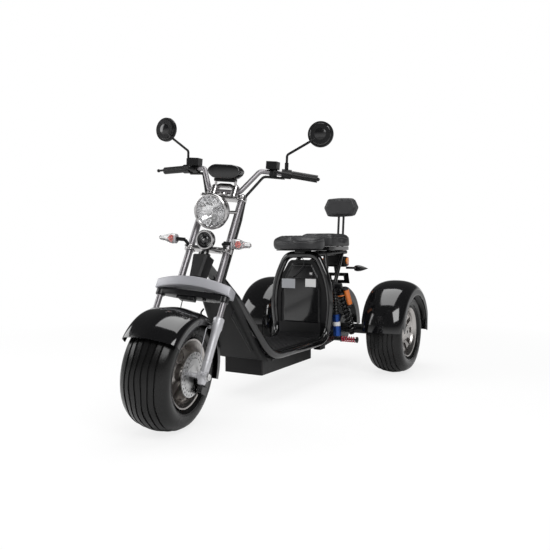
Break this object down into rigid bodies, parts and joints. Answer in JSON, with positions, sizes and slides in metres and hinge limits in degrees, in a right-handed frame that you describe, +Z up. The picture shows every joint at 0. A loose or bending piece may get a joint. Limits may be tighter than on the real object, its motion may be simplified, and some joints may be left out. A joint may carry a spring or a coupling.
{
  "type": "electric tricycle",
  "caption": "Step-through electric tricycle with fat tyres, raked telescopic fork, saddle with pillion seat and backrest, and domed rear fenders.",
  "frame": {"origin": "middle of the vehicle's bounding box, on the ground", "axes": "+Z up, the front faces -Y, the vehicle's left side faces +X"},
  "size_m": [1.058, 2.086, 1.3399],
  "materials": {
    "gloss_black": "gloss",
    "body_plastic": "satin",
    "mat_rubber": "ribbed",
    "frame_black": "satin",
    "vinyl": "soft grain",
    "dark_steel": "satin",
    "spring_black": "gloss",
    "orange_paint": "satin",
    "blue_anodised": "gloss",
    "red_paint": "gloss",
    "red_lens": "gloss",
    "orange_lens": "gloss",
    "bright_alloy": "polished",
    "grey_chrome": "polished",
    "silver_paint": "satin",
    "chrome": "mirror",
    "steel": "machined",
    "clear_lens": "clear",
    "gloss_plastic": "gloss",
    "grip_rubber": "matte",
    "mirror_face": "mirror",
    "tyre": "ribbed",
    "rim_chrome": "mirror"
  },
  "bodies": {
    "chassis": {"main_frame": "gloss_black", "head_cover": "body_plastic", "leg_shield": "body_plastic", "floor_deck": "body_plastic", "floor_mat": "mat_rubber", "battery_box": "body_plastic", "seat_box": "body_plastic", "seat_door": "body_plastic", "rear_subframe": "frame_black", "saddle_plate": "body_plastic", "rear_seat_base": "body_plastic", "saddle": "vinyl", "rear_seat": "vinyl", "backrest_posts": "frame_black", "backrest_pad": "vinyl", "swing_arm": "frame_black", "axle_motor": "dark_steel", "shock_bodies": "frame_black", "shock_coils": "spring_black", "shock_reservoirs": "orange_paint", "lower_dampers": "blue_anodised", "side_coils": "red_paint", "rear_fender_left": "gloss_black", "rear_fender_right": "gloss_black", "tail_lamp": "body_plastic", "tail_lens": "red_lens", "side_reflectors": "orange_lens", "rear_indicators": "body_plastic", "plate_bracket": "frame_black"},
    "front_end": {"fork_legs": "bright_alloy", "stanchions": "grey_chrome", "lower_crown": "silver_paint", "steering_stem": "dark_steel", "fork_clamps": "chrome", "fork_upper_tubes": "grey_chrome", "front_axle": "steel", "front_caliper": "dark_steel", "front_fender": "gloss_black", "headlight_shell": "chrome", "headlight_lens": "clear_lens", "horn": "gloss_plastic", "front_indicator_stalks": "body_plastic", "front_indicator_lenses": "clear_lens", "handlebar": "grey_chrome", "grips": "grip_rubber", "controls": "body_plastic", "mirrors": "body_plastic", "mirror_glass": "mirror_face", "display_pod": "gloss_plastic"},
    "front_wheel": {"front_tyre": "tyre", "front_rim": "rim_chrome", "brake_disc": "steel"},
    "rear_wheel_left": {"rear_left_tyre": "tyre", "rear_left_rim": "rim_chrome"},
    "rear_wheel_right": {"rear_right_tyre": "tyre", "rear_right_rim": "rim_chrome"}
  },
  "joints": [
    {"name": "steering", "type": "hinge", "parent": "chassis", "child": "front_end", "pos_m": [0, -0.80398, 0.23517], "axis": [0, 0.4617, 0.887], "range_deg": [-48.8, 27.2]},
    {"name": "front_wheel_spin", "type": "hinge", "parent": "front_end", "child": "front_wheel", "pos_m": [0, -0.80398, 0.23517], "axis": [0.9823, 0.1662, -0.0865], "continuous": true},
    {"name": "rear_left_wheel_spin", "type": "hinge", "parent": "chassis", "child": "rear_wheel_left", "pos_m": [0.406, 0.72602, 0.23517], "axis": [1, 0, 0], "continuous": true},
    {"name": "rear_right_wheel_spin", "type": "hinge", "parent": "chassis", "child": "rear_wheel_right", "pos_m": [-0.406, 0.72602, 0.23517], "axis": [1, 0, 0], "continuous": true}
  ]
}
